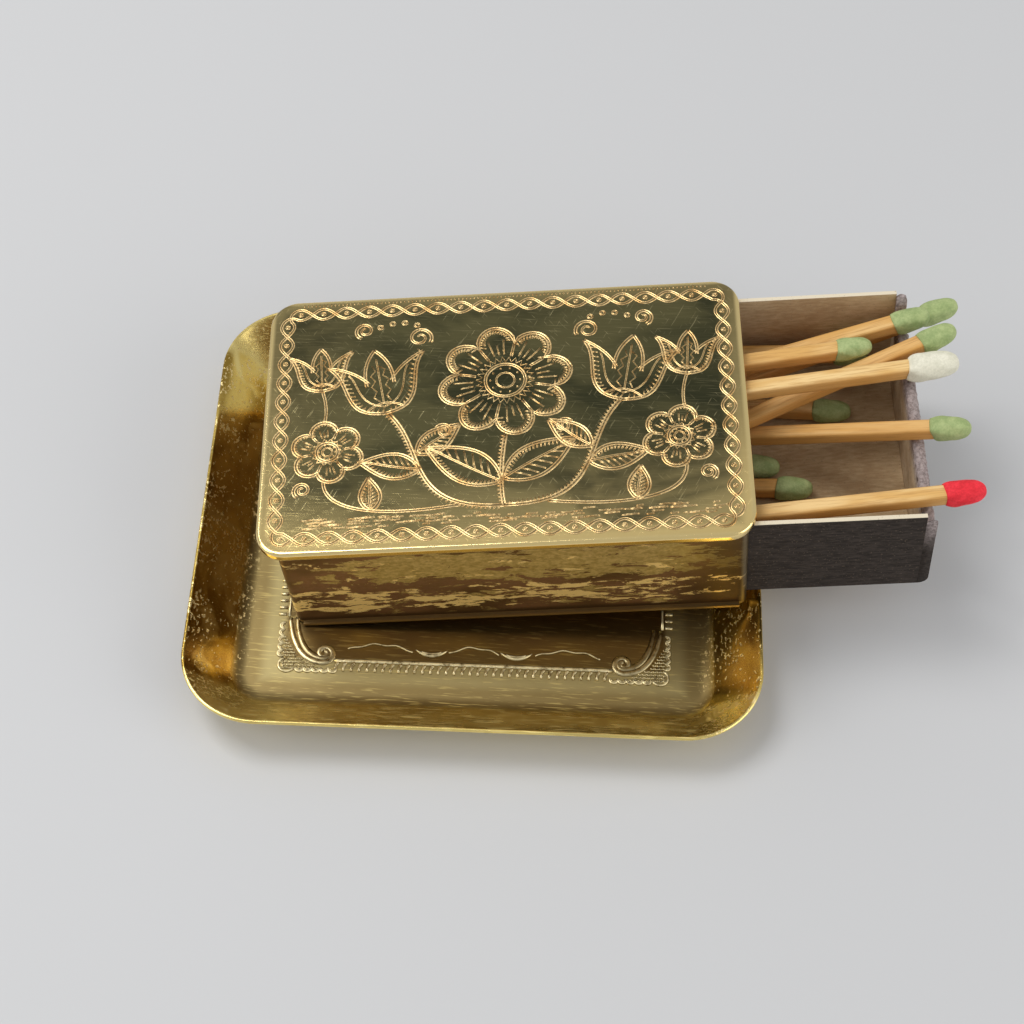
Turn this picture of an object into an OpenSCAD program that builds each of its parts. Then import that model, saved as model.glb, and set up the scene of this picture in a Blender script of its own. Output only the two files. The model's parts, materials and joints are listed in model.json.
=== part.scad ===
// Brass matchbox holder: a lift-off cover stands over a cardboard matchbox in a pressed tray.
// The matchbox is a little too long for the flat floor, so its right end leans up the tray wall.

/* [Tray] */
// Length of the tray across its rim
tray_l = 68.4; // [66:0.2:76]
// Width of the tray across its rim
tray_w = 60.7; // [56:0.1:70]
// Height of the rim above the table
tray_h = 6; // [5:0.1:7]
// Thickness of the pressed brass sheet
tray_t = 0.5; // [0.3:0.05:0.8]
// Corner radius of the rim seen from above
rim_r = 9.5; // [8.5:0.1:14]
// Slope of the flared wall from the horizontal
flare = 46; // [42:1:60]
// Radius of the cove between the floor and the wall
cove_r = 2.5; // [1:0.1:3]

/* [Matchbox] */
// Length of the drawer
drawer_l = 53; // [50:0.2:56]
// Width of the drawer over its sides
drawer_w = 32.9; // [32:0.1:36]
// Height of the drawer sides
drawer_h = 14.4; // [14:0.1:17]
// Thickness of the drawer floor and sides
board_t = 0.5; // [0.3:0.05:0.7]
// Thickness of the folded drawer ends
end_t = 1.3; // [0.9:0.05:1.8]
// How far the drawer stands out of the sleeve
drawer_out = 22.1; // [18:0.1:28]
// How far the worn end wall stays below the drawer sides
end_drop = 2.8; // [2.6:0.05:4]
// Thickness of the sleeve card
card_t = 0.35; // [0.2:0.05:0.6]
// How much longer the sleeve is than the drawer
sleeve_extra = 0.2; // [0:0.1:1.5]
// Height of the striker strips
striker_h = 12; // [6:0.5:13]
// Thickness of the striker coating
striker_t = 0.06; // [0.04:0.01:0.1]

/* [Matches] */
// Side of a square match stick
stick_s = 1.9; // [1.5:0.05:1.95]
// Length of a whole match
match_l = 40; // [36:0.5:41]
// Length of a match that has burned or snapped short
short_l = 34; // [30:0.5:36]

/* [Brass cover] */
// Thickness of the sheet of the cover body
body_t = 0.3; // [0.2:0.05:0.4]
// Thickness of the engraved top plate
plate_t = 0.3; // [0.2:0.05:0.6]
// Corner radius of the top plate
plate_r = 3.4; // [2.6:0.1:5]
// Overhang of the top plate at the front and the back
over_side = 0.95; // [0.8:0.05:1.6]
// Overhang of the top plate at the left end
over_left = 2.15; // [1:0.05:3]
// Overhang of the top plate at the right end
over_right = 0.95; // [0.8:0.05:1.4]
// Thickness of the rolled lip round the plate
lip_t = 0.5; // [0.3:0.05:0.6]
// Height of the rolled lip from the top of the plate
lip_h = 1.2; // [0.8:0.05:1.25]
// How far the walls reach below the sleeve
wall_below = 0.65; // [0.5:0.05:1.5]
// Corner radius of the cover body seen from above
body_r = 0.9; // [0.5:0.05:1]
// How far the foot bead stands out from the wall
foot_out = 0.5; // [0.2:0.05:0.8]
// Height of the foot bead
foot_h = 0.4; // [0.2:0.05:0.8]

/* [Placing] */
// Middle of the top plate along the tray
box_x = 4; // [2:0.1:4.2]
// Middle of the top plate across the tray
box_y = 4.95; // [0:0.05:5.5]
// Turn of the matchbox in the tray
box_turn = 2.6; // [0:0.1:4]
// Gap where the cover rests on the tray
rest_gap = 0.15; // [0.1:0.05:0.3]

/* [Clearances] */
// Gap beside the drawer in the sleeve
slide_gap = 0.15; // [0.1:0.05:0.3]
// Gap under the drawer in the sleeve
under_gap = 0.1; // [0.05:0.05:0.3]
// Gap over the drawer in the sleeve
over_gap = 0.2; // [0.15:0.05:0.4]
// Gap beside the sleeve in the cover
cover_gap = 0.35; // [0.15:0.05:0.5]
// Gap over the sleeve in the cover
top_gap = 0.15; // [0.1:0.05:0.4]
// Gap at each end of the sleeve in the cover
end_gap = 0.3; // [0.15:0.05:0.6]
// Gap under a match in a notch of the end wall
notch_gap = 0.15; // [0.1:0.05:0.4]

/* [Hidden] */
$fn = 64;

// Matchbox measured upward from the bottom edge of the cover walls
sleeve_z = wall_below;
drawer_z = sleeve_z + card_t + under_gap;
floor_z = drawer_z + board_t;
rim_z = drawer_z + drawer_h;
sleeve_in_y = drawer_w / 2 + slide_gap;
sleeve_in_z = sleeve_z + card_t;
ceiling_z = rim_z + over_gap;
sleeve_y = sleeve_in_y + card_t;
sleeve_top = ceiling_z + card_t;
sleeve_l = drawer_l + sleeve_extra;
side_y = drawer_w / 2;
side_in = side_y - board_t;
end_top = rim_z - end_drop;

// Cover built round the sleeve
body_in_y = sleeve_y + cover_gap;
body_y = body_in_y + body_t;
web_z = sleeve_top + top_gap;
plate_z = web_z + body_t;
plate_top = plate_z + plate_t;
body_l = sleeve_l + 2 * end_gap + 2 * body_t;
plate_l = body_l + over_left + over_right;
plate_w = 2 * (body_y + over_side);
body_x0 = over_left - plate_l / 2;
body_x1 = body_x0 + body_l;
sleeve_x0 = body_x0 + body_t + end_gap;
sleeve_x1 = sleeve_x0 + sleeve_l;
drawer_x1 = sleeve_x1 + drawer_out;
drawer_x0 = drawer_x1 - drawer_l;

// Section of the tray wall, measured inward from the rim
rim_edge = tray_t / sin(flare);
wall_foot = rim_edge + (tray_h - tray_t) / tan(flare);
floor_edge = wall_foot + cove_r * tan(flare / 2);
cove_steps = 6;
floor_lap = (rim_r - floor_edge) / 2;

// Lean of the matchbox: left end on the floor, right front corner on the flared wall,
// and never less than the drawer needs to pass over the rim
function wall_height(inset) = min(tray_h, tray_h - (inset - rim_edge) * tan(flare));
foot_y = body_y + foot_out;
function corner_inset(tilt) =
    tray_l / 2 - box_x - body_x1 * cos(tilt) * cos(box_turn) - foot_y * sin(box_turn);
function lean(tilt) = max(
    asin((wall_height(corner_inset(tilt)) - tray_t) / body_l),
    asin((tray_h - tray_t - drawer_z) / (tray_l / 2 - box_x - body_x0)));
box_lean = lean(lean(0));
box_z = tray_t + rest_gap - body_x0 * sin(box_lean);

// Heights and places in the drawer
function over_end(d) = drawer_x1 + d;
function from_left(gap, len, turn) = drawer_x0 + end_t + gap + len * cos(turn);
function from_back(d) = side_in - d;
function from_front(d) = d - side_in;
function below_rim(d) = rim_z - d;
function above_floor(d) = floor_z + d;

// One match lies as [x, y, z of its head, z of its tail, turn, length, head length, head radius]
lie_a = [over_end(4), from_back(0.75), below_rim(2.7), above_floor(5), 14, match_l, 4.6, 1.4];
lie_b = [over_end(0.2), from_back(3.25), below_rim(1), above_floor(7), 9.5, match_l, 4.4, 1.4];
lie_c = [over_end(2.9), from_back(6.55), below_rim(0.4), above_floor(4.5), 16, match_l, 4.6, 1.4];
lie_d = [over_end(-7.1), from_back(6.95), below_rim(1.3), below_rim(1.3), 6.5, match_l, 4.4, 1.3];
lie_e = [from_left(5.1, match_l - 2.3, 7), from_back(8.35), above_floor(1.7), above_floor(1.15),
         -7, match_l, 4.6, 1.4];
lie_f = [over_end(2.8), from_back(20.35), below_rim(0), above_floor(1.15),
         -15.5, match_l - 0.4, 4.6, 1.4];
lie_g = [from_left(1.5, short_l - 2.2, 5), from_back(16.15), above_floor(1.6), above_floor(1.15),
         -5, short_l, 4.4, 1.4];
lie_h = [from_left(1.2, short_l + 1.8, 4), from_back(19.55), above_floor(1.6), above_floor(1.1),
         -4, short_l + 4, 4.4, 1.4];
lie_j = [over_end(-6.7), from_back(2.65), above_floor(5.9), above_floor(5.9), -2.5, match_l, 4.4, 1.4];
lie_r = [over_end(3.4), from_front(3.15), below_rim(0.8), above_floor(10.1), 1.4, match_l, 4.8, 1.45];
lie_w = [over_end(1.9), from_back(10.45), below_rim(0.9), below_rim(0.9), 6, match_l, 6.2, 1.7];

// Upward slope of a match from tail to head
function pitch(m) = asin((m[2] - m[3]) / (m[5] - m[6] / 2));
// Height of the axis of a match where it crosses the inner face of the end wall
function cross_z(m) = m[2] - (m[0] - drawer_x1 + end_t) / cos(m[4]) * tan(pitch(m));
// Place across the drawer where the axis crosses that face
function cross_y(m) = m[1] - (m[0] - drawer_x1 + end_t) * tan(m[4]);

notch_z = cross_z(lie_a) - stick_s / 2 / cos(pitch(lie_a)) - notch_gap;
notch_y = cross_y(lie_a) - stick_s / 2 / cos(lie_a[4]) - 3 * notch_gap;
corner_run = 1.6;
corner_rise = end_drop - 0.5;
collar_r = 1.02;

// Rounded rectangle centred on the origin
module round_rect(l, w, r) {
    square([l - 2 * r, w], center = true);
    square([l, w - 2 * r], center = true);
    for (x = [-1, 1], y = [-1, 1])
        translate([x * (l / 2 - r), y * (w / 2 - r)]) circle(r);
}

// Moves the matchbox and its cover to where they lean in the tray
module leaning() {
    translate([box_x, box_y, box_z]) rotate([0, 0, box_turn]) rotate([0, -box_lean, 0]) children();
}

// Section of the flared wall with its outer edge at x = reach and its floor edge inward of that
module wall_section(reach) {
    polygon(concat(
        [[reach - rim_edge, tray_h], [reach, tray_h]],
        [for (i = [cove_steps:-1:0])
            let (a = flare * i / cove_steps)
            [reach - floor_edge + (cove_r + tray_t) * sin(a),
             cove_r + tray_t - (cove_r + tray_t) * cos(a)]],
        [[reach - floor_edge - floor_lap, 0], [reach - floor_edge - floor_lap, tray_t]],
        [for (i = [0:cove_steps])
            let (a = flare * i / cove_steps)
            [reach - floor_edge + cove_r * sin(a), cove_r + tray_t - cove_r * cos(a)]]
    ));
}

module wall_run(reach, run) {
    rotate([90, 0, 0]) linear_extrude(run, center = true) wall_section(reach);
}

module tray() color("darkgoldenrod") {
    linear_extrude(tray_t)
        round_rect(tray_l - 2 * floor_edge, tray_w - 2 * floor_edge, rim_r - floor_edge);
    for (i = [0, 1], j = [0, 1])
        mirror([i, 0, 0]) mirror([0, j, 0])
            translate([tray_l / 2 - rim_r, tray_w / 2 - rim_r, 0])
                rotate_extrude(angle = 90) wall_section(rim_r);
    for (a = [0, 180]) {
        rotate([0, 0, a]) wall_run(tray_l / 2, tray_w - 2 * rim_r);
        rotate([0, 0, a + 90]) wall_run(tray_w / 2, tray_l - 2 * rim_r);
    }
}

module cover_top() color("olive") leaning() {
    translate([0, 0, plate_z]) linear_extrude(plate_t) round_rect(plate_l, plate_w, plate_r);
    translate([0, 0, plate_top - lip_h]) linear_extrude(lip_h)
        difference() {
            round_rect(plate_l, plate_w, plate_r);
            round_rect(plate_l - 2 * lip_t, plate_w - 2 * lip_t, plate_r - lip_t);
            square([plate_l + 1, plate_w - 2 * plate_r], center = true);
        }
}

module cover_body() color("goldenrod") leaning() {
    mid = (body_x0 + body_x1) / 2;
    difference() {
        translate([mid, 0, 0]) linear_extrude(plate_z) round_rect(body_l, 2 * body_y, body_r);
        translate([mid, 0, -1]) linear_extrude(web_z + 1)
            round_rect(body_l - 2 * body_t, 2 * body_in_y, body_r - body_t);
        translate([body_x0 - 1, -sleeve_in_y, -1]) cube([body_l + 2, 2 * sleeve_in_y, web_z + 1]);
    }
    for (s = [-1, 1])
        translate([mid - body_l / 2 + body_r, s * (body_y + foot_out / 2) - foot_out / 2, 0])
            cube([body_l - 2 * body_r, foot_out, foot_h]);
}

module matchbox_sleeve() color("wheat") leaning() {
    difference() {
        translate([sleeve_x0, -sleeve_y, sleeve_z]) cube([sleeve_l, 2 * sleeve_y, sleeve_top - sleeve_z]);
        translate([sleeve_x0 - 1, -sleeve_in_y, sleeve_in_z])
            cube([sleeve_l + 2, 2 * sleeve_in_y, ceiling_z - sleeve_in_z]);
    }
}

module striker(side) {
    translate([sleeve_x0, side * (sleeve_y + striker_t / 2) - striker_t / 2,
               (sleeve_z + sleeve_top - striker_h) / 2])
        cube([sleeve_l, striker_t, striker_h]);
}

module striker_front() color("saddlebrown") leaning() striker(-1);

module striker_back() color("saddlebrown") leaning() striker(1);

module drawer_tray() color("wheat") leaning() {
    run = drawer_l - 2 * end_t;
    difference() {
        translate([drawer_x0 + end_t, -side_y, drawer_z]) cube([run, drawer_w, drawer_h]);
        translate([drawer_x0, -side_in, floor_z]) cube([drawer_l, 2 * side_in, drawer_h]);
    }
}

// Outline of the worn end wall seen from the end
module end_outline() {
    difference() {
        polygon(concat(
            [[-side_y, drawer_z], [side_y, drawer_z], [side_y, end_top]],
            [for (i = [0:6])
                let (a = 90 * i / 6)
                [-side_y + corner_run * (1 - sin(a)), end_top + corner_rise * (1 - cos(a))]]
        ));
        translate([notch_y, notch_z]) square([side_y - notch_y + 1, drawer_h]);
    }
}

// Side outline of the end wall, with its lower outer corner rounded
module end_profile() {
    r = end_t - 0.1;
    translate([drawer_x1 - end_t, drawer_z + r]) square([end_t, drawer_h - r]);
    translate([drawer_x1 - end_t, drawer_z]) square([end_t - r, drawer_h]);
    translate([drawer_x1 - r, drawer_z + r]) circle(r);
}

module drawer_end_right() color("rosybrown") leaning() {
    intersection() {
        translate([drawer_x1 - end_t, 0, 0])
            rotate([90, 0, 90]) linear_extrude(end_t) end_outline();
        rotate([90, 0, 0]) linear_extrude(drawer_w, center = true)
            intersection() {
                end_profile();
                translate([drawer_x1 - end_t, 0]) square([end_t, rim_z]);
            }
    }
}

module drawer_end_left() color("rosybrown") leaning()
    translate([drawer_x0, -side_y, drawer_z]) cube([end_t, drawer_w, drawer_h]);

// Local frame of a match: its head centre at the origin, its tail along -X
module lying(m) {
    translate([m[0], m[1], m[2]]) rotate([0, -pitch(m), m[4]]) children();
}

module stick_bar(m) {
    tail = m[6] / 2 - m[5];
    tip = 0.12 * m[6];
    translate([tail, -stick_s / 2, -stick_s / 2]) cube([tip - tail, stick_s, stick_s]);
}

// Half outline of a head, egg shaped, with its collar on the stick
function head_outline(len, r) =
    let (wide = -0.05 * len,
         a0 = acos(collar_r / r),
         back = (len / 2 + wide) / sin(a0),
         front = len / 2 - wide)
    concat(
        [[0, -len / 2]],
        [for (i = [0:4]) let (a = -a0 * (1 - i / 4)) [r * cos(a), wide + back * sin(a)]],
        [for (i = [1:5]) let (a = 75 * i / 5) [r * cos(a), wide + front * sin(a)]],
        [[0, len / 2]]
    );

module match_stick(m) leaning() lying(m) stick_bar(m);

module match_head(m) leaning() lying(m) {
    difference() {
        rotate([0, 90, 0]) rotate_extrude() polygon(head_outline(m[6], m[7]));
        stick_bar(m);
    }
}

module stick_a() color("burlywood") match_stick(lie_a);
module stick_b() color("burlywood") match_stick(lie_b);
module stick_c() color("burlywood") match_stick(lie_c);
module stick_d() color("burlywood") match_stick(lie_d);
module stick_e() color("burlywood") match_stick(lie_e);
module stick_f() color("burlywood") match_stick(lie_f);
module stick_g() color("burlywood") match_stick(lie_g);
module stick_h() color("burlywood") match_stick(lie_h);
module stick_j() color("burlywood") match_stick(lie_j);
module stick_r() color("burlywood") match_stick(lie_r);
module stick_w() color("burlywood") match_stick(lie_w);

module head_a() color("darkseagreen") match_head(lie_a);
module head_b() color("darkseagreen") match_head(lie_b);
module head_c() color("darkseagreen") match_head(lie_c);
module head_d() color("darkseagreen") match_head(lie_d);
module head_e() color("darkseagreen") match_head(lie_e);
module head_f() color("darkseagreen") match_head(lie_f);
module head_g() color("darkseagreen") match_head(lie_g);
module head_h() color("darkseagreen") match_head(lie_h);
module head_j() color("darkseagreen") match_head(lie_j);
module head_r() color("crimson") match_head(lie_r);
module head_w() color("whitesmoke") match_head(lie_w);

tray();
cover_top();
cover_body();
matchbox_sleeve();
striker_front();
striker_back();
drawer_tray();
drawer_end_left();
drawer_end_right();
stick_a();
head_a();
stick_b();
head_b();
stick_c();
head_c();
stick_d();
head_d();
stick_e();
head_e();
stick_f();
head_f();
stick_g();
head_g();
stick_h();
head_h();
stick_j();
head_j();
stick_r();
head_r();
stick_w();
head_w();
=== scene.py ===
import json
import math
import bpy
import numpy as np
from mathutils import Matrix, Vector


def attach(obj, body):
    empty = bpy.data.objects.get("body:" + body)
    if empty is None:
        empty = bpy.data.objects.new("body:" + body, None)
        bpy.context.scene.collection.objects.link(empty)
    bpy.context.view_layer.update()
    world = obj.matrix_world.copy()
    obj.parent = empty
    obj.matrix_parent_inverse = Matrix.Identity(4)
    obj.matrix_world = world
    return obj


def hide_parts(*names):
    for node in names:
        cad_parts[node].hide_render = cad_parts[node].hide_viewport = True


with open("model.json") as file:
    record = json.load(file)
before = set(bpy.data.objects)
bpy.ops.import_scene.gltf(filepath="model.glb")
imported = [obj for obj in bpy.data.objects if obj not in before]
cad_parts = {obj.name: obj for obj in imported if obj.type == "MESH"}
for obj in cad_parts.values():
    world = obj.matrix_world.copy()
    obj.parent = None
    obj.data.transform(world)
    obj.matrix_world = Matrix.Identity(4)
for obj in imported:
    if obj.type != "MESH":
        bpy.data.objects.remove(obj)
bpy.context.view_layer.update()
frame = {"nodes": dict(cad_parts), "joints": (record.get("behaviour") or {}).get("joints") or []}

MM = 0.001

# The camera stands in front of the holder and looks down on it at 57 degrees, a quarter of a
# metre away, with a slight turn to the right and a slight roll.
view_target = Vector((4.0, -4.1, 12.0)) * MM
view_distance = 240.35 * MM
view_turn, view_height, view_roll = (math.radians(a) for a in (1.7, 57.0, 0.68))
view_back = Vector((math.sin(view_turn) * math.cos(view_height),
                    -math.cos(view_turn) * math.cos(view_height), math.sin(view_height)))
level_right = (-view_back).cross(Vector((0, 0, 1))).normalized()
level_up = level_right.cross(-view_back)
view_right = level_right * math.cos(view_roll) + level_up * math.sin(view_roll)
view_up = level_up * math.cos(view_roll) - level_right * math.sin(view_roll)
camera = bpy.data.objects.new("camera", bpy.data.cameras.new("camera"))
bpy.context.scene.collection.objects.link(camera)
camera.matrix_world = Matrix.Translation(view_target + view_back * view_distance) @ Matrix(
    (view_right, view_up, view_back)).transposed().to_4x4()
camera.data.sensor_width = 36.0
camera.data.lens = 70.9
camera.data.clip_start = 0.01
bpy.context.scene.camera = camera

# The tray is one pressed sheet of brass: a flat floor, a small cove and a flared wall whose
# edge is rounded over. It is golden brown, pitted on the left and right walls, and worn to a
# satin pale olive on the floor. Light is painted into its colour: bright patches on the wall
# as painted reflections, a brighter front wall with painted highlight streaks, and a brown
# floor inside the ridge as a painted reflection of the cover.
tray_long, tray_wide, tray_high, tray_sheet = 68.4, 60.7, 6.0, 0.5
rim_radius, flare, cove = 9.5, math.radians(46), 2.5
rim_edge = tray_sheet / math.sin(flare)
floor_edge = rim_edge + (tray_high - tray_sheet) / math.tan(flare) + cove * math.tan(flare / 2)


def outline(long, wide, radius, side_steps, corner_steps):
    """Round a rectangle with rounded corners: each point is a corner centre, moved along the
    straight sides, and the outward unit vector there, so centre + r * outward is the outline
    at any radius r."""
    turn = np.linspace(0, math.pi / 2, corner_steps + 1)
    centres, outward = [], []
    for k in range(4):
        cx = (long / 2 - radius) * (1, -1, -1, 1)[k]
        cy = (wide / 2 - radius) * (1, 1, -1, -1)[k]
        nx = (long / 2 - radius) * (-1, -1, 1, 1)[k]
        ny = (wide / 2 - radius) * (1, -1, -1, 1)[k]
        a = turn + k * math.pi / 2
        centres.append(np.column_stack([np.full(a.shape, cx), np.full(a.shape, cy)]))
        outward.append(np.column_stack([np.cos(a), np.sin(a)]))
        t = np.linspace(0, 1, side_steps + 1)[1:-1, None]
        centres.append(np.array([cx, cy]) * (1 - t) + np.array([nx, ny]) * t)
        outward.append(np.repeat(outward[-1][-1:], len(t), axis=0))
    return np.concatenate(centres), np.concatenate(outward)


def build(name, points, faces, body, **marks):
    """A smooth-shaded mesh object that rides on a body, from points in millimetres and a list
    of faces; each mark is a number per point that the material reads by its name."""
    mesh = bpy.data.meshes.new(name)
    mesh.from_pydata((np.asarray(points, float) * MM).tolist(), [], faces)
    mesh.polygons.foreach_set("use_smooth", np.ones(len(mesh.polygons), bool))
    for mark, numbers in marks.items():
        held = mesh.attributes.new(mark, "FLOAT", "POINT")
        held.data.foreach_set("value", np.asarray(numbers, np.float32))
    mesh.update()
    made = bpy.data.objects.new(name, mesh)
    bpy.context.scene.collection.objects.link(made)
    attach(made, body)
    return made


def tube_faces(rings, count, clockwise=False):
    """Quads between neighbouring rings of points, each closed round, and a face that closes
    each end. The faces point outwards where the rings, seen from beyond the last one, run
    anticlockwise, or clockwise if that is set."""
    ring = np.arange(rings - 1)[:, None] * count
    here = np.arange(count)[None, :]
    after = (here + 1) % count
    quads = np.stack([ring + here, ring + after, ring + count + after, ring + count + here], -1)
    faces = quads.reshape(-1, 4).tolist()
    faces.append(list(range(count))[::-1])
    faces.append(list(range((rings - 1) * count, rings * count)))
    return [face[::-1] for face in faces] if clockwise else faces


def arc(cx, cy, r, start, end, steps):
    """Points on an arc round (cx, cy) from angle start to end, in degrees."""
    a = np.radians(np.linspace(start, end, steps))
    return np.column_stack([cx + r * np.cos(a), cy + r * np.sin(a)])


def lofted(centres, outward, radius, rings):
    """Points centre * share + (radius - inset) * outward at the height given, one ring for each
    (share, inset, height); shares below 1 draw the ring in towards the middle."""
    stack = []
    for share, inset, height in rings:
        ring = centres * share + max(radius - inset, 0) * outward
        stack.append(np.column_stack([ring, np.broadcast_to(height, len(ring))]))
    return np.concatenate(stack)


# Section of the sheet from the middle of the floor, over the rim and back underneath, as
# (inset from the rim, height)
flare_deg = math.degrees(flare)
over = tray_sheet / 2
inner_cove = arc(floor_edge, tray_sheet + cove, cove, -90, -90 + flare_deg, 9)
outer_cove = arc(floor_edge, tray_sheet + cove, cove + tray_sheet, -90 + flare_deg, -90, 9)
inner_cove[:, 0] = 2 * floor_edge - inner_cove[:, 0]
outer_cove[:, 0] = 2 * floor_edge - outer_cove[:, 0]
flare_up = np.array([-math.cos(flare), math.sin(flare)])
flare_out = np.array([-math.sin(flare), -math.cos(flare)])
top_mid = np.array([over + 0.02, tray_high - over])
bead = np.array([top_mid + over * (math.cos(a) * -flare_out + math.sin(a) * flare_up)
                 for a in np.radians(np.linspace(0, 180, 9))])
inner_wall = np.linspace(inner_cove[-1], bead[0], 10)[1:-1]
outer_wall = np.linspace(bead[-1], outer_cove[0], 10)[1:-1]
wall_section = np.concatenate([inner_cove, inner_wall, bead, outer_wall, outer_cove])
rings = [(share, rim_radius, tray_sheet) for share in np.linspace(0.01, 1, 24)]
rings += [(1, inset, tray_sheet) for inset in (8.8, 8.0, 7.4)]
rings += [(1, u, z) for u, z in wall_section]
rings += [(1, 8.0, 0.0), (1, rim_radius, 0.0), (0.01, rim_radius, 0.0)]
centres, outward = outline(tray_long, tray_wide, rim_radius, 40, 18)
points = lofted(centres, outward, rim_radius, rings)
# the flare waves by a few hundredths of a millimetre, as pressed sheet does
bearing = np.arctan2(points[:, 1], points[:, 0])
wave = 0.03 * np.sin(3 * bearing + 1) + 0.02 * np.sin(8 * bearing)
points[:, 2] += (wave - 0.05) * (np.maximum(points[:, 2] - 1, 0) / tray_high) ** 2
points[:, 2] += 0.012 * np.sin(points[:, 0] * 0.3 + 1) * np.cos(points[:, 1] * 0.35) * (points[:, 2] > 0.3)
tray = build("tray_dish", points, tube_faces(len(rings), len(centres), clockwise=True), "tray")
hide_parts("tray")


class Sock:
    """A shader socket: arithmetic on it adds Math nodes, and node() adds any other node."""

    def __init__(self, tree, socket):
        self.tree = tree
        self.socket = socket

    def node(self, kind, settings=None, values=None, out=0):
        made = self.tree.nodes.new(kind)
        for key, value in (settings or {}).items():
            if key == "stops":
                ramp = made.color_ramp
                while len(ramp.elements) < len(value):
                    ramp.elements.new(0.5)
                for element, (at, colour) in zip(ramp.elements, value):
                    element.position = at
                    element.color = colour if len(colour) == 4 else (*colour, 1)
            else:
                setattr(made, key, value)
        for key, value in (values or {}).items():
            if isinstance(value, Sock):
                self.tree.links.new(value.socket, made.inputs[key])
            elif isinstance(value, tuple) and made.inputs[key].type == "RGBA" and len(value) == 3:
                made.inputs[key].default_value = (*value, 1)
            else:
                made.inputs[key].default_value = value
        return Sock(self.tree, made.outputs[out])

    def math(self, operation, a, b=0.0):
        return self.node("ShaderNodeMath", {"operation": operation}, {0: a, 1: b})

    def __add__(self, other):
        return self.math("ADD", self, other)

    def __radd__(self, other):
        return self.math("ADD", other, self)

    def __sub__(self, other):
        return self.math("SUBTRACT", self, other)

    def __rsub__(self, other):
        return self.math("SUBTRACT", other, self)

    def __abs__(self):
        return self.math("ABSOLUTE", self)

    def __mul__(self, other):
        return self.math("MULTIPLY", self, other)

    def __rmul__(self, other):
        return self.math("MULTIPLY", other, self)

    def larger(self, other):
        return self.math("MAXIMUM", self, other)

    def step(self, low, high):
        """0 below low, 1 above high and smooth between."""
        return self.node("ShaderNodeMapRange", {"interpolation_type": "SMOOTHSTEP", "clamp": True},
                         {"Value": self, "From Min": low, "From Max": high})

    def mix(self, a, b):
        """Colour a where this is 0 and colour b where it is 1."""
        return self.node("ShaderNodeMix", {"data_type": "RGBA"}, {0: self, 6: a, 7: b}, out=2)

    def noise(self, scale, detail=3.0, rough=0.5, warp=0.0):
        """Noise on this vector, with features about 1/scale across."""
        return self.node("ShaderNodeTexNoise", {}, {"Vector": self, "Scale": scale, "Detail": detail,
                                                    "Roughness": rough, "Distortion": warp})

    def stretched(self, x, y, z, turn=(0, 0, 0)):
        """This vector turned and then scaled along each axis, in units per millimetre."""
        turned = self.node("ShaderNodeMapping", {}, {"Vector": self, "Rotation": turn})
        return turned.node("ShaderNodeMapping", {}, {"Vector": turned, "Scale": (x / MM, y / MM, z / MM)})

    def axis(self, k):
        return self.node("ShaderNodeSeparateXYZ", {}, {0: self}, out=k)

    def mark(self, name):
        """The number that the mesh holds under this name."""
        return self.node("ShaderNodeAttribute", {"attribute_name": name}, out=2)


def material(name, metallic=0.0, roughness=0.5, **fixed):
    """A material with a Principled shader: returns it, its shader and its object coordinates."""
    made = bpy.data.materials.new(name)
    made.use_nodes = True
    tree = made.node_tree
    shader = tree.nodes["Principled BSDF"]
    shader.inputs["Metallic"].default_value = metallic
    shader.inputs["Roughness"].default_value = roughness
    for key, value in fixed.items():
        shader.inputs[key.replace("_", " ")].default_value = value
    where = tree.nodes.new("ShaderNodeTexCoord").outputs["Object"]
    return made, shader, Sock(tree, where)


def feed(shader, **links):
    """Links sockets to the shader's inputs."""
    for key, value in links.items():
        value.tree.links.new(value.socket, shader.inputs[key.replace("_", " ")])


def bumped(height, strength, distance):
    """A Bump node's normal from a height, distance in millimetres."""
    return height.node("ShaderNodeBump", {}, {"Height": height, "Strength": strength,
                                              "Distance": distance * MM})


def wear(piece, made):
    """Gives a piece one material in place of any it has."""
    piece.data.materials.clear()
    piece.data.materials.append(made)


brass_deep, brass_mid, brass_bright = (0.40, 0.25, 0.045), (0.92, 0.66, 0.17), (1.0, 0.80, 0.30)
floor_olive, floor_reflection_brown, floor_dark = (0.42, 0.34, 0.155), (0.23, 0.15, 0.055), (0.24, 0.165, 0.06)
tray_brass, shader, place = material("tray_brass", metallic=1.0, roughness=0.25)
height = place.axis(2)
across_x = abs(place.axis(0))
across_y = abs(place.axis(1))
cloud = place.stretched(0.08, 0.08, 0.2).noise(1.0, 3.0, 0.55, 0.6)
drift = place.stretched(0.16, 0.16, 0.3).noise(1.0, 2.0, 0.5, 1.2)
grains = place.stretched(2.6, 1.7, 2.6).noise(1.0, 2.0, 0.6)
patchy = place.stretched(0.22, 0.22, 0.22).noise(1.0, 3.0, 0.6).step(0.40, 0.62)
pits = (grains + patchy * 0.09 - 0.09).step(0.555, 0.60) * across_x.step(26.6 * MM, 28.5 * MM)
on_floor = 1.0 - height.step(0.62 * MM, 1.5 * MM)
inside = (1.0 - across_x.step(22.6 * MM, 23.4 * MM)) * (1.0 - across_y.step(18.3 * MM, 19.0 * MM))
# painted reflections: the wall's brass runs from deep to mid in slow patches, bright patches are painted in
# as reflections, and the front wall is painted brighter as a painted highlight
wall_tone = cloud.step(0.36, 0.60).mix(brass_deep, brass_mid)
wall_tone = (drift.step(0.52, 0.68) * 0.8).mix(wall_tone, brass_bright)
front_wall = across_y.step(23.2 * MM, 24.0 * MM) * (1.0 - on_floor * 0.5)
wall_tone = (front_wall * 0.7).mix(wall_tone, brass_bright)
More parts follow.
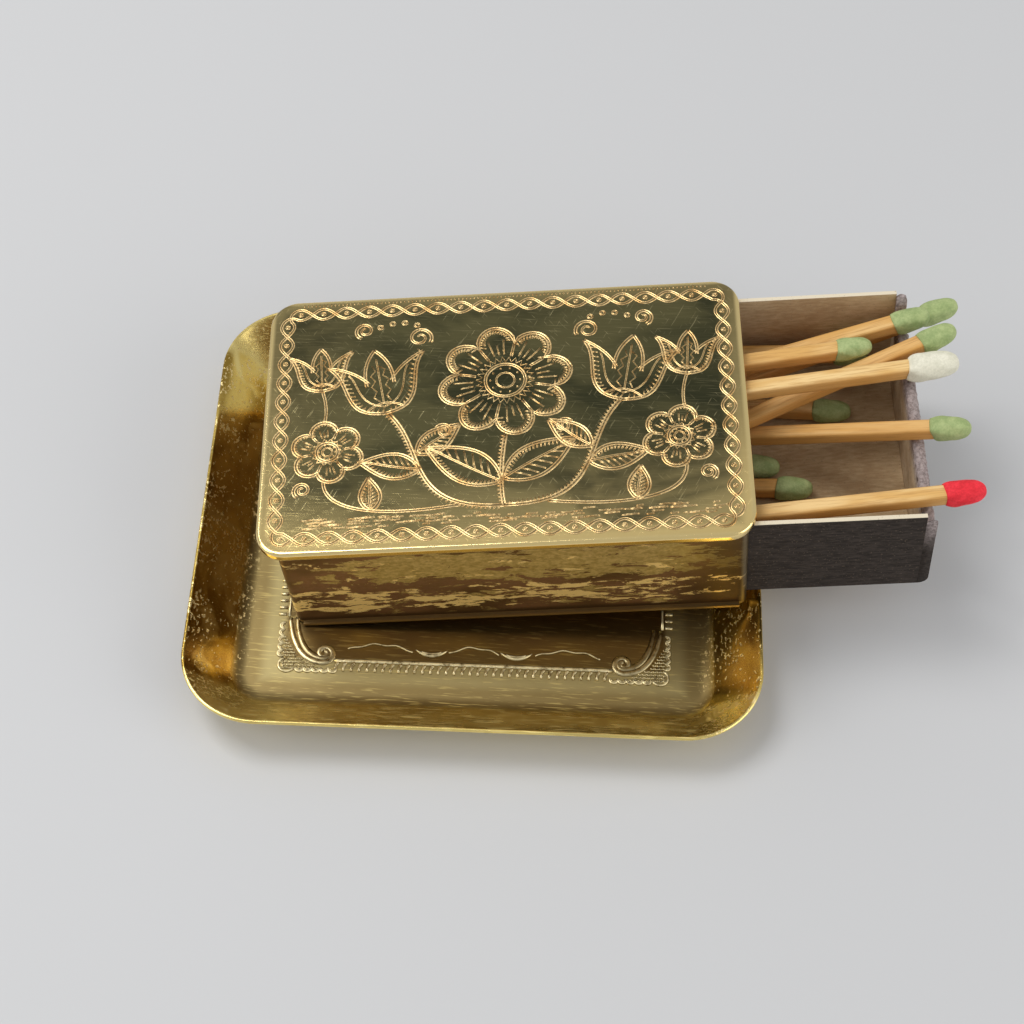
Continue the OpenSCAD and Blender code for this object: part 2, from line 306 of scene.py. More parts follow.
# painted reflection: inside the ridge the floor is painted brown, the dark reflection of the cover
floor_tone = (inside * 0.8).mix(floor_olive, floor_reflection_brown)
beyond = across_x.step(24.4 * MM, 26.2 * MM).larger(across_y.step(20.9 * MM, 22.6 * MM))
floor_tone = (beyond * 0.75).mix(floor_tone, floor_dark)
tone = on_floor.mix(wall_tone, floor_tone)
tone = pits.mix(tone, (1.0, 0.80, 0.38))
streak = place.stretched(0.25, 5.0, 5.0).noise(1.0, 3.0, 0.6)
# painted highlight: bright horizontal streaks, strongest on the front wall
highlight_streaks = place.stretched(0.30, 4.0, 4.0, (0, 0, 0.04)).noise(1.0, 2.0, 0.6).step(0.56, 0.66)
highlight_streaks = highlight_streaks * (0.3 + front_wall * 0.7)
satin = on_floor * (1.0 - inside * 0.6)
feed(shader, Base_Color=(highlight_streaks * 0.85).mix(tone, brass_bright), Metallic=1.0 - highlight_streaks * front_wall * 0.3,
     Roughness=0.13 + satin * 0.3 + pits * 0.2 + cloud * 0.08 + highlight_streaks * 0.1 + front_wall * 0.1,
     Normal=bumped(streak * 0.5 - pits * 1.6 + cloud * 5.0 + drift * 3.0 + grains * 0.3 * satin, 0.35, 0.03))
wear(tray, tray_brass)

# The tray's pressed ornament stands a little proud of the floor: a ridge with a comb
# of slanting strokes outside it, and at each corner a thick C-scroll with a wedge of
# basket-work behind it whose outer edge is a row of beads. Crescents stand in the middle.
# The tops of the raised lines are painted bright, partly as wear and partly as a painted
# highlight.
proud = 0.17


def left_of(path):
    """Unit vectors that point to the left of a path: its direction turned by a right angle."""
    along = np.gradient(path, axis=0)
    along /= np.maximum(np.linalg.norm(along, axis=1, keepdims=True), 1e-9)
    return np.column_stack([-along[:, 1], along[:, 0]])


def ribbon(strokes, section, base):
    """Each stroke is (points along it, half width there, how bright if not 1). The section's
    points (across, up) are carried along: place + across * half width * sideways, at height
    base(x, y) + up. Both ends are closed. Returns points, faces and, at each point, how bright
    the material paints the metal, partly as wear on the raised metal and partly as a painted
    highlight on its top: the section's third number times the stroke's own."""
    across, up, bright = np.array(section).T
    points, faces, rubbed, start = [], [], [], 0
    for path, half, *shine in strokes:
        path = np.asarray(path, float)
        half = np.broadcast_to(np.asarray(half, float), len(path))
        ring = path[:, None] + left_of(path)[:, None] * (across[None] * half[:, None])[..., None]
        rise = base(ring[..., 0], ring[..., 1]) + up[None]
        points.append(np.dstack([ring, rise]).reshape(-1, 3))
        rubbed.append(np.tile(bright, len(path)) * (shine[0] if shine else 1.0))
        stroke = tube_faces(len(path), len(section), clockwise=True)
        faces += [[corner + start for corner in face] for face in stroke]
        start += len(path) * len(section)
    return np.concatenate(points), faces, np.concatenate(rubbed)


# the third number is how bright the point is painted: high on the top of the raised line, partly wear and
# partly a painted highlight
crest = [(-1, -0.1, 0), (-0.85, 0.4 * proud, 0.3), (-0.4, 0.9 * proud, 1), (0.4, 0.9 * proud, 1),
         (0.85, 0.4 * proud, 0.3), (1, -0.1, 0)]


def line(x0, y0, x1, y1, half=0.2, steps=2):
    """A straight stroke."""
    return np.column_stack([np.linspace(x0, x1, steps), np.linspace(y0, y1, steps)]), half


def curve(*knots, steps=24):
    """A smooth curve through the control polygon's ends: its Bezier."""
    t = np.linspace(0, 1, steps)[:, None]
    knots = [np.array(k, float) for k in knots]
    while len(knots) > 1:
        knots = [a * (1 - t) + b * t for a, b in zip(knots[:-1], knots[1:])]
    return knots[0]


def c_scroll():
    """One front-left scroll: a curve down from the side that rolls up into a volute, whose
    radius shrinks by 0.85 of itself through one and a quarter turns."""
    sweep = curve((-22.5, -13.2), (-22.1, -16.2), (-20.9, -19.1), (-18.0, -19.15), steps=22)
    t = np.linspace(0, 1, 24)[1:]
    r, a = 1.25 * (1 - 0.85 * t), -math.pi / 2 + t * 2.5 * math.pi
    volute = np.array([-18.0, -17.9]) + np.column_stack([r * np.cos(a), r * np.sin(a)])
    return np.vstack([sweep, volute])


ornament = []
comb_x, comb_y, comb_gap = 16.7, 13.0, 0.95
ridge_x, ridge_y = 22.7, 18.85
base_scroll = c_scroll()
thick = 0.34 * (0.6 + 0.75 * np.sin(np.linspace(0.25, math.pi, len(base_scroll))))
closing = 0.85 * np.linspace(1, 0.15, len(base_scroll)) ** 0.7
inner_scroll = (base_scroll + left_of(base_scroll) * closing[:, None])[:32]
for sx in (-1, 1):
    for sy in (-1, 1):
        flip = np.array([-sx, -sy])
        for path, shine in ((base_scroll, 0.6), (inner_scroll, 0.35)):
            ornament.append((path * flip, thick[:len(path)], shine))
        # the basket-work: rows of small arcs, shifted by half a step in every other row,
        # inside the wedge between the scroll and the beads
        for k in range(13):
            for m in range(12):
                x, y = -23.0 + 0.5 * k + 0.25 * (m % 2), -19.95 + 0.42 * m
                u, v = (x + 23.3) / 5.6, (y + 20.2) / 6.0
                if math.sqrt(u) + math.sqrt(v) < 1.2 and u + v < 0.9:
                    ornament.append((arc(x, y, 0.19, 180, 360, 6) * flip, 0.12, 0.8))
        beads = [(-23.2, -14.3 - 0.95 * k, 0.42, 180) for k in range(5)] + [(-22.4, -19.6, 0.98, 225)]
        beads += [(-20.85 + 1.0 * k, -20.05, 0.46, 270) for k in range(5)]
        for x, y, r, face in beads:
            ornament.append((arc(x, y, r, face - 110, face + 110, 14) * flip, 0.17))
            ornament.append((arc(x, y, r * 0.55, face - 100, face + 100, 8) * flip, 0.12, 0.7))
for side_sign in (-1, 1):
    ornament.append(line(-comb_x, side_sign * ridge_y, comb_x, side_sign * ridge_y, 0.31, 24))
    ornament.append(line(side_sign * ridge_x, -comb_y, side_sign * ridge_x, comb_y, 0.2, 20))
    for x in np.arange(-comb_x + 0.3, comb_x, comb_gap):
        hook = curve((x + 0.3, 19.15), (x - 0.1, 19.0), (x - 0.12, 20.25), steps=6)
        ornament.append((hook * [1, side_sign], 0.25 * np.linspace(1.2, 0.7, 6), 0.7))
    for y in np.arange(-comb_y + 0.3, comb_y, comb_gap):
        ornament.append(line(side_sign * 23.05, y, side_sign * 23.95, y, 0.22, 3))
    for x in (-5.1, 5.1):
        for drop, wide in ((0.0, 1.9), (0.5, 1.2)):
            top = 17.0 + drop * 0.4
            swag = curve((x - wide, top), (x, 18.4 - drop), (x + wide, top), steps=14)
            ornament.append((swag * [1, side_sign], 0.3 * np.sin(np.linspace(0.2, 2.94, 14))))
    for x0, x1 in ((-15.2, -7.4), (-3.0, 3.0), (7.4, 15.2)):
        lift = curve((x0, 17.3), ((x0 + x1) / 2, 15.6), (x1, 17.3), steps=20)
        lift[:, 1] += 0.12 * np.sin(lift[:, 0] * 2.2)
        ornament.append((lift * [1, side_sign], 0.11))
points, faces, rubbed = ribbon(ornament, crest, lambda x, y: tray_sheet + 0.012 + 0 * x)
pressing = build("tray_ornament", points, faces, "tray", rubbed=rubbed)
crest_brass, shader, place = material("tray_crest_brass", metallic=1.0, roughness=0.25)
spots = place.stretched(1.2, 1.2, 1.2).noise(1.0, 3.0, 0.6)
rubbed = place.mark("rubbed")
# the raised lines' tops are painted bright, partly wear and partly a painted highlight, and darker at their
# edges
tone = (rubbed * spots.step(0.2, 0.6)).mix((0.20, 0.14, 0.055), (1.0, 0.86, 0.50))
feed(shader, Base_Color=tone, Metallic=1.0 - rubbed.step(0.86, 0.98) * 0.5, Roughness=0.2 + spots * 0.2,
     Normal=bumped(spots, 0.2, 0.02))
wear(pressing, crest_brass)

# The top plate of the brass cover is a polished sheet with fine scratches, whose edge is
# rounded and rolled down at the front, the back and round the corners. Its dark olive is a
# painted dark reflection, with a painted golden sheen towards the front and the margins and a
# painted highlight along the edge.
box_turn, tray_rest = math.radians(2.6), 0.15
joint_axis = {j["name"]: np.array(j["axis"], float) for j in frame["joints"]}
box_along, box_up = joint_axis["drawer_slide"], joint_axis["cover_lift"]
box_frame = np.stack([box_along, np.cross(box_up, box_along), box_up])
body_left = -26.6
box_origin = np.array([4.0, 4.95, tray_sheet + tray_rest - body_left * box_along[2]])


def leaning(points):
    """Moves points from the matchbox's own frame to where it leans in the tray."""
    return np.asarray(points) @ box_frame + box_origin


plate_long, plate_wide, plate_radius, plate_top = 57.5, 37.1, 3.4, 16.8
plate_sheet, lip_high, lip_sheet, lip_round = 0.3, 1.2, 0.5, 0.42


def beaten(x, y):
    """Height of the plate's top, which waves by two hundredths of a millimetre, as sheet
    finished by hand does: the sum of two slow sines."""
    slow = 0.02 * np.sin(0.21 * x + 0.9) * np.cos(0.27 * y)
    return plate_top - 0.03 + slow + 0.01 * np.sin(0.5 * x - 0.4 * y)


centres, outward = outline(plate_long, plate_wide, plate_radius, 60, 14)
across = np.abs(centres[:, 1] + plate_radius * outward[:, 1])
lip = np.clip((across - (plate_wide / 2 - plate_radius)) / 0.7, 0, 1)
lip = lip * lip * (3 - 2 * lip)
reach = plate_sheet + (lip_high - plate_sheet) * lip
rings = [(share, plate_radius, plate_top) for share in np.linspace(0.01, 1, 30)]
rings += [(1, inset, plate_top) for inset in (3.0, 2.4, 1.8, 1.2, 0.7)]
field_rings = len(rings)
for a in np.radians(np.linspace(0, 90, 8)):
    round_now = np.minimum(lip_round, reach / 2)
    rings.append((1, lip_round * (1 - math.sin(a)), plate_top - round_now * (1 - math.cos(a))))
for part_way in (0.35, 0.7, 0.92):
    rings.append((1, 0.0, plate_top - lip_round / 2 - (reach - lip_round) * part_way - 0.05))
rings.append((1, 0.08, plate_top - reach))
rings.append((1, lip_sheet - 0.08, plate_top - reach))
for part_way in (0.85, 0.4, 0.05):
    rings.append((1, lip_sheet, plate_top - plate_sheet - (reach - plate_sheet) * part_way))
rings += [(1, inset, plate_top - plate_sheet) for inset in (0.9, 1.5, plate_radius)]
rings.append((0.01, plate_radius, plate_top - plate_sheet))
points = lofted(centres, outward, plate_radius, rings)
field = slice(0, field_rings * len(centres))
points[field, 2] = beaten(points[field, 0], points[field, 1])
plate = build("cover_plate", leaning(points), tube_faces(len(rings), len(centres), clockwise=True), "cover")
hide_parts("cover_top")


def turned_back(place, turn):
    """Coordinates turned back by three angles, so that the piece's own axes lie level."""
    return place.node("ShaderNodeVectorRotate", {"rotation_type": "EULER_XYZ", "invert": True},
                      {"Vector": place, "Rotation": turn})


def boxwise(place):
    """Object coordinates taken back to the matchbox's own frame: its origin and its turn."""
    moved = place.node("ShaderNodeVectorMath", {"operation": "SUBTRACT"},
                       {0: place, 1: tuple(box_origin * MM)})
    return turned_back(moved, (0, -math.asin(box_along[2]), box_turn))


plate_brass, shader, place = material("plate_brass", metallic=1.0, roughness=0.16)
level = boxwise(place)
cloud = level.stretched(0.06, 0.10, 0.1).noise(1.0, 4.0, 0.55, 0.5)
scratch_a = level.stretched(0.30, 14, 1, (0, 0, 0.12)).noise(1.0, 1.0, 0.5).step(0.66, 0.74)
scratch_b = level.stretched(8, 0.35, 1, (0, 0, 0.5)).noise(1.0, 1.0, 0.5).step(0.69, 0.75)
scratch_c = level.stretched(0.5, 9, 1, (0, 0, 0.9)).noise(1.0, 1.0, 0.5).step(0.70, 0.75)
brushed = level.stretched(0.12, 12, 1, (0, 0, 0.03)).noise(1.0, 2.0, 0.6)
in_x = plate_long / 2 * MM - abs(level.axis(0))
in_y = plate_wide / 2 * MM - abs(level.axis(1))
inset = in_x.math("MINIMUM", in_x, in_y)
# painted reflection: a golden sheen painted towards the front and the right, along the margins, and a little
# at the far left
toward = (level.axis(0) * 0.12 - level.axis(1)).step(-10 * MM, 30 * MM)
leftmost = 1.0 - level.axis(0).step(-27 * MM, -12 * MM)
margin = 1.0 - inset.step(0.9 * MM, 3.4 * MM)
at_edge = margin * (0.3 + toward * 0.85)
in_field = (toward.step(0.25, 0.95) * 0.6 + leftmost * 0.12) * cloud.step(0.2, 0.6)
sheen = at_edge.larger(in_field)
# painted reflection: the field's dark olive stands for the dark surroundings it mirrors
dark = cloud.step(0.35, 0.62).mix((0.065, 0.066, 0.033), (0.18, 0.16, 0.07))
marks = scratch_a * 0.3 + scratch_b * 0.4 + scratch_c * 0.35 + brushed.step(0.5, 0.8) * 0.1
tone = marks.mix(dark, (0.70, 0.60, 0.32))
tone = sheen.mix(tone, (1.0, 0.75, 0.31))
# painted highlight along the plate's outer edge
tone = (1.0 - inset.step(0.25 * MM, 0.8 * MM)).mix(tone, (0.98, 0.76, 0.34))
feed(shader, Base_Color=tone, Roughness=0.10 + cloud * 0.08 + marks * 0.25,
     Normal=bumped(cloud * 4.0 + marks * 0.35 + brushed * 0.3, 0.3, 0.03))
wear(plate, plate_brass)

# The border and the picture are cut into the plate as double lines with a raised burr
# on both sides; the burr's top is painted bright, partly as wear and partly as a painted
# highlight, and the groove between is dark. The border is a plait of two strands with a dot
# in each eye, and a row of ticks behind it. The field holds a plain bunch of flowers with
# leaves and tendrils.
burr = 0.07
# the third number is how bright the point is painted: high on the burr's top, partly wear and partly a
# painted highlight, low in the groove
cut = [(-1, -0.05, 0), (-0.95, 0.3 * burr, 0.5), (-0.62, burr, 1), (-0.3, 0.5 * burr, 0.55),
       (0, -0.1 * burr, 0), (0.3, 0.5 * burr, 0.55), (0.62, burr, 1), (0.95, 0.3 * burr, 0.5),
       (1, -0.05, 0)]


def run_of(path):
    """The distance along a path at each of its points."""
    return np.concatenate([[0], np.cumsum(np.linalg.norm(np.diff(path, axis=0), axis=1))])


def picked(path, run, at):
    """The points of a path, or of what goes with it, at the distances given."""
    return np.column_stack([np.interp(at, run, path[:, k]) for k in (0, 1)])


def plait(inset, pitch, swing, half):
    """Two strands that cross once every pitch round the plate: the outline at that inset, moved
    outwards by plus or minus swing times a sine of the distance along it, and a dot in each
    eye between them."""
    middle, away = outline(plate_long, plate_wide, plate_radius, 400, 40)
    path = middle + (plate_radius - inset) * away
    path = np.vstack([path, path[:1]])
    away = np.vstack([away, away[:1]])
    run = run_of(path)
    count = 2 * round(run[-1] / pitch / 2)
    even = np.linspace(0, run[-1], count * 14 + 1)
    path, away = picked(path, run, even), picked(away, run, even)
    wave = swing * np.sin(even / run[-1] * count * math.pi)
    strokes = [(path + away * wave[:, None], half), (path - away * wave[:, None], half)]
    for k in range(count):
        c = path[k * 14 + 7]
        strokes.append((arc(c[0], c[1], 0.21, 0, 380, 9), 0.14))
    return strokes


border = plait(2.15, 2.8, 0.8, 0.22)
for k in range(104):
    border.append(line(-24.7 + k * 0.48, 17.55, -24.7 + k * 0.48, 17.95, 0.07))
points, faces, rubbed = ribbon(border, cut, beaten)
plait_cut = build("plate_border", leaning(points), faces, "cover", rubbed=rubbed)


def wriggle(path, swing, pitch, half):
    """A zigzag of that pitch and swing along a path, as a rocked graver leaves."""
    run = run_of(path)
    even = np.linspace(0, run[-1], max(3, int(run[-1] / pitch)))
    path = picked(path, run, even)
    sign = np.where(np.arange(len(even)) % 2, swing, -swing)
    return path + left_of(path) * sign[:, None], half


def toothed(path, long, pitch, half):
    """Short strokes on the left of a path, pitch apart, as a chisel walked along it leaves."""
    run = run_of(path)
    even = np.arange(pitch, run[-1], pitch)
    spots = picked(path, run, even)
    ahead = picked(path, run, even + 0.1) - spots
    ahead /= np.maximum(np.linalg.norm(ahead, axis=1, keepdims=True), 1e-9)
    left = np.column_stack([-ahead[:, 1], ahead[:, 0]]) + 0.35 * ahead
    return [(np.array([a, a + b * long / 2, a + b * long]), half) for a, b in zip(spots, left)]


def moved(path, x, y, turn=0.0, size=1.0):
    """A path scaled, turned by degrees and set down at (x, y)."""
    c, s = math.cos(math.radians(turn)), math.sin(math.radians(turn))
    path = np.asarray(path, float) * size
    return np.column_stack([path[:, 0] * c - path[:, 1] * s + x, path[:, 0] * s + path[:, 1] * c + y])


def leaf(x, y, turn, long, wide):
    """A pointed leaf: half width wide * sin(pi t^0.8) at share t of its length, with a midrib,
    side veins on one half and teeth along the inside of the other."""
    t = np.linspace(0, 1, 24)
    half_width = wide * np.sin(math.pi * t ** 0.8)
    strokes = []
    for side in (-1, 1):
        edge = moved(np.column_stack([long * t, side * half_width]), x, y, turn)
        strokes.append((edge, 0.27))
    strokes += toothed(edge[::-1], 0.75, 0.5, 0.11)
    for v in np.arange(0.14, 0.86, 0.1):
        tip = min(v + 0.14, 1)
        reach_out = -0.8 * wide * math.sin(math.pi * tip ** 0.8)
        vein = np.column_stack([long * np.array([v, (v + tip) / 2, tip]), [0, reach_out * 0.45, reach_out]])
        strokes.append((moved(vein, x, y, turn), 0.11))
    strokes.append((moved(np.column_stack([long * t, 0.1 * np.sin(5 * t)]), x, y, turn), 0.17))
    return strokes


def rosette(x, y, r, petals, turn=0.0):
    """A flower: a rim r * (0.72 + 0.28 |cos(petals a / 2)|^0.7), teeth inside it, lines down
    each petal, a wriggled ring and a seed head of rings and dots."""
    a = np.linspace(0, 2 * math.pi, petals * 14 + 1)
    rim = r * (0.72 + 0.28 * np.abs(np.cos(petals * a / 2)) ** 0.7)
    edge = moved(np.column_stack([rim * np.cos(a), rim * np.sin(a)]), x, y, turn)
    strokes = [(edge, 0.28)]
    strokes += toothed(edge, r * 0.11, 0.48, 0.1)
    strokes.append((arc(x, y, r * 0.3, 0, 372, 28), 0.24))
    strokes.append((arc(x, y, r * 0.14, 0, 372, 14), 0.14))
    strokes.append(wriggle(arc(x, y, r * 0.39, 0, 362, 60), r * 0.045, 0.36, 0.1))
    for k in range(petals):
        middle = turn + (k + 0.5) * 360 / petals
        s = np.linspace(r * 0.45, r * 0.70, 4)
        strokes.append((moved(np.column_stack([s, 0 * s]), x, y, middle), 0.2))
        for aside in (-9, 0, 9):
            s = np.linspace(r * 0.48, r * (0.78 if aside else 0.68), 4)
            strokes.append((moved(np.column_stack([s, 0 * s]), x, y, middle + 180 / petals + aside), 0.1))
    for k in range(10):
        c = r * 0.225 * np.array([math.cos(k * math.pi / 5), math.sin(k * math.pi / 5)])
        strokes.append((arc(x + c[0], y + c[1], 0.08, 0, 380, 6), 0.07))
    return strokes


def tulip(x, y, turn, size):
    """A tulip seen from the side: two outer petals that curl out, a middle petal, a cup line
    and teeth inside the petals; drawn 5 mm high and scaled."""
    strokes = []
    for side in (-1, 1):
        outer = curve((0, 0), (side * 2.9, 0.2), (side * 1.6, 2.8), (side * 3.0, 4.2))
        back = curve((side * 3.0, 4.2), (side * 1.4, 3.6), (side * 0.7, 2.4))
        strokes += [(outer, 0.27), (back, 0.22)]
        strokes.append((curve((0, 0.5), (side * 1.7, 1.0), (side * 1.25, 2.6), (side * 1.9, 3.4)), 0.12))
        strokes.append((curve((side * 0.85, 2.2), (side * 1.0, 3.8), (0, 4.9)), 0.25))
        strokes += toothed(outer if side > 0 else outer[::-1], 0.42, 0.34, 0.09)
        down = curve((side * 0.35, 0.9), (side * 0.6, 2.4), (side * 0.2, 3.7))
        strokes.append(wriggle(down, 0.14, 0.34, 0.09))
    strokes.append((curve((0, 0.7), (0, 2), (0, 4.2)), 0.13))
    strokes.append((curve((-1.25, 0.25), (0, 1.3), (1.25, 0.25)), 0.16))
    return [(moved(path, x, y, turn, size), half) for path, half in strokes]


def curl(x, y, turn, size, flip):
    """A tendril that rolls up: radius size * (1 - 0.8 t) through one and a half turns."""
    t = np.linspace(0, 1, 34)
    a = flip * t * 3 * math.pi
    r = size * (1 - 0.8 * t)
    path = np.column_stack([size - r * np.cos(a), r * np.sin(a)])
    return [(moved(path, x, y, turn), 0.22 * (1.25 - 0.6 * t))]


# Flowers on long stems that spring from the middle of the front edge and sweep to both sides,
# a rosette in the middle, tulips and smaller rosettes beside it, and short ground strokes.
chance = np.random.default_rng(11)
picture = []
picture += rosette(0.2, 4.9, 8.0, 8, 11)
stem = curve((0, -12.9), (-0.7, -9), (0.2, -3.1))
picture += [(stem, 0.3)] + toothed(stem, 0.6, 0.5, 0.1)
picture += leaf(-0.3, -9.6, 150, 10.4, 2.3)
picture += leaf(-0.1, -9.2, 32, 10.0, 2.2)
for side, tune in ((-1, 0.0), (1, 0.35)):
    stem = curve((0, -12.9), (side * 12, -13.4), (side * 9.0, -4), (side * 13.9, 0.9 + tune))
    picture += [(stem, 0.3)] + toothed(stem, 0.6, 0.5, 0.1)
    picture += tulip(side * 14.1, 0.9 + tune, -side * 10, 1.95)
    stem = curve((side * 5.0, -12.6), (side * 14, -14.0), (side * 21.5, -13.0), (side * 21.2, -8.2))
    picture.append((stem, 0.26))
    picture += rosette(side * (20.9 - tune), -4.4, 4.3, 6, 20 * side)
    picture += tulip(side * 21.9, 4.6, -side * 4, 1.3)
    picture.append((curve((side * 21.4, -0.2), (side * 21.0, 2.0), (side * 21.9, 4.6), steps=12), 0.22))
    picture += leaf(side * 9.9, -7.4, 90 - side * 80, 7.2, 1.75)
    picture += leaf(side * 10.3, -5.2, 90 + side * 52, 6.4, 1.5)
    picture += leaf(side * 15.4, -12.9, 90 - side * 6, 4.6, 1.2)
    picture += curl(side * 8.9, 11.2, 90 - side * 60, 1.5, side)
    picture += curl(side * 17.4, 12.3, 90 + side * 20, 1.2, -side)
    picture += curl(side * 24.2, -10.6, 90 + side * 30, 1.1, -side)
    picture += curl(side * 8.0, -1.6, 90 + side * 120, 1.0, -side)
    for k in range(4):
        x, y = side * (10.6 + 1.5 * k), 13.9 + 0.5 * math.sin(1.1 * k)
        picture.append((arc(x, y, 0.3, 0, 380, 9), 0.14))
ground_x = chance.uniform(-24.4, 24.0, 120)
ground_y = chance.choice([-15.1, -14.7, -14.3, -13.9], 120)
ground_long = chance.uniform(0.7, 2.0, 120)
ground_bow = chance.uniform(-0.25, 0.25, 120)
for x, y, long, bow in zip(ground_x, ground_y, ground_long, ground_bow):
    ground = curve((x, y), (x + long / 2, y + bow), (x + long, y + 0.1), steps=5)
    picture.append((ground, 0.11))
points, faces, rubbed = ribbon(picture, cut, beaten)
picture_cut = build("plate_picture", leaning(points), faces, "cover", rubbed=rubbed)
cut_brass, shader, place = material("cut_brass", metallic=1.0, roughness=0.3)
worn = place.stretched(0.5, 0.5, 0.5).noise(1.0, 3.0, 0.6)
glint = place.stretched(3, 3, 3).noise(1.0, 2.0, 0.6)
raised = place.mark("rubbed")
# the cut metal is dark in the groove and bright on the burr's top, partly wear and partly a painted
# highlight, in patches
tone = (worn.step(0.25, 0.6) * glint.step(0.2, 0.5)).mix((0.66, 0.39, 0.14), (1.0, 0.72, 0.34))
feed(shader, Base_Color=raised.step(0.1, 0.8).mix((0.07, 0.05, 0.02), tone), Roughness=0.2 + glint * 0.15)
wear(plait_cut, cut_brass)
wear(picture_cut, cut_brass)

# The cover body is bent from one thin sheet: a web under the plate, a front and a back wall,
# narrow returns at the open ends and a beaded foot. Its brass is tarnished brown and pink,
# with a jagged olive-gold band above and bright worn streaks below. A painted shadow darkens
# the top under the plate's lip and the foot, and a painted highlight runs along the foot's
# lowest edge.
body_node = frame["nodes"]["cover_body"]
body_brass, shader, place = material("body_brass", metallic=1.0, roughness=0.35)
level = boxwise(place)
low = level.axis(2)
ragged = level.stretched(0.24, 0.24, 0.72).noise(1.0, 7.0, 0.70, 0.6)
streaky = level.stretched(0.25, 0.25, 0.95).noise(1.0, 7.0, 0.70, 0.4)
fine = level.stretched(1.5, 1.5, 2.5).noise(1.0, 4.0, 0.65)
hue = level.stretched(0.09, 0.09, 0.2).noise(1.0, 2.0, 0.5)
upper = low.step(7.0 * MM, 9.5 * MM) * (1.0 - low.step(13.2 * MM, 14.8 * MM))
leftward = 1.0 - level.axis(0).step(-22 * MM, -13 * MM)
rightward = level.axis(0).step(16 * MM, 25 * MM)
olive = (ragged + upper * 0.17 - leftward * 0.16 - rightward * 0.10).step(0.56, 0.58)
lower = low.step(1.4 * MM, 2.6 * MM) * (1.0 - low.step(6.0 * MM, 8.4 * MM))
gold = (streaky + lower * 0.13 + upper * 0.045 - rightward * 0.05).step(0.64, 0.655)
base = hue.step(0.35, 0.6).mix((0.17, 0.095, 0.045), (0.36, 0.20, 0.13))
base = (fine.step(0.3, 0.7) * 0.5).mix(base, (0.24, 0.16, 0.07))
tone = olive.mix(base, fine.step(0.3, 0.7).mix((0.50, 0.38, 0.16), (0.76, 0.61, 0.30)))
tone = gold.mix(tone, (1.0, 0.73, 0.29))
tone = (rightward * (1.0 - gold * 0.8) * 0.8).mix(tone, (0.045, 0.033, 0.018))
# painted shadow under the plate's lip, at the top of the wall
top = low.step(14.2 * MM, 15.6 * MM)
tone = (top * 0.6).mix(tone, (0.10, 0.07, 0.03))
# painted shadow at the foot
foot = 1.0 - low.step(0.7 * MM, 1.6 * MM)
tone = foot.mix(tone, (0.10, 0.06, 0.03))
# painted highlight along the lowest edge of the foot
tone = (1.0 - low.step(0.35 * MM, 0.5 * MM)).mix(tone, (0.42, 0.28, 0.11))
ends = level.axis(0).step(26.9 * MM, 27.3 * MM)
tone = (ends * 0.7).mix(tone, (0.26, 0.19, 0.09))
feed(shader, Base_Color=tone, Metallic=1.0 - gold * 0.45, Roughness=0.32 + fine * 0.2 - gold * 0.08,
     Normal=bumped(olive * 0.5 + gold * 0.5 + fine * 0.4, 0.3, 0.03))
wear(body_node, body_brass)

# The matchbox is folded from grey board: a sleeve with a rough striker strip on each long
# side, and a drawer of thicker board. The faces are beige to brown, the drawer's outer faces
# are darkened by painted shade, and the cut edges are raw and cream.
raw_edge, board_pale, board_brown = (0.80, 0.70, 0.52), (0.62, 0.47, 0.28), (0.43, 0.29, 0.155)
board_shade_dark, board_shade_pale = (0.026, 0.020, 0.016), (0.058, 0.045, 0.037)


def board(name, side_at=None, edge_at=None):
    """Grey board with fibres and specks: darkened by painted shade where it is side_at or more
    millimetres from the middle line, and with a raw cut edge at height edge_at."""
    made, shader, place = material(name, roughness=0.9, Specular_IOR_Level=0.2)
    level = boxwise(place)
    fibre = level.stretched(0.7, 3.0, 3.0).noise(1.0, 4.0, 0.65)
    blotch = level.stretched(0.12, 0.12, 0.2).noise(1.0, 3.0, 0.55)
    speck = level.stretched(4, 4, 4).noise(1.0, 1.0, 0.5).step(0.66, 0.72)
    tone = (fibre * 0.5 + blotch * 0.5).step(0.35, 0.65).mix(board_brown, board_pale)
    if side_at:
        # painted shade on the outer faces
        outside = abs(level.axis(1)).step((side_at - 0.07) * MM, (side_at - 0.03) * MM)
        tone = outside.mix(tone, fibre.step(0.3, 0.7).mix(board_shade_dark, board_shade_pale))
    if edge_at:
        top = level.axis(2).step((edge_at - 0.1) * MM, (edge_at - 0.02) * MM)
        tone = top.mix(tone, raw_edge)
    tone = (speck * 0.35).mix(tone, (0.22, 0.16, 0.11))
    feed(shader, Base_Color=tone, Normal=bumped(fibre + speck * 0.3, 0.3, 0.05))
    return made


drawer_side, drawer_rim, drawer_floor = 16.45, 15.5, 1.6
drawer_board = board("drawer_board", drawer_side, drawer_rim)
sleeve_board = board("sleeve_board")


def end_height(y):
    """Top of the open end wall: a fillet up to the front corner, a worn notch near the back
    under the match that lies there, and a rounded corner behind it."""
    front = np.clip(1 - (y + drawer_side) / 1.6, 0, 1)
    top = 12.7 + 2.3 * (1 - np.sqrt(1 - front ** 2))
    top = top - 1.95 * np.clip((y - 12.25) / 0.5, 0, 1)
    behind = np.clip((y - 15.2) / 0.35, 0, 1)
    return top + behind * (4.55 - 0.5 * np.clip((y - 15.9) / 0.55, 0, 1) ** 2)


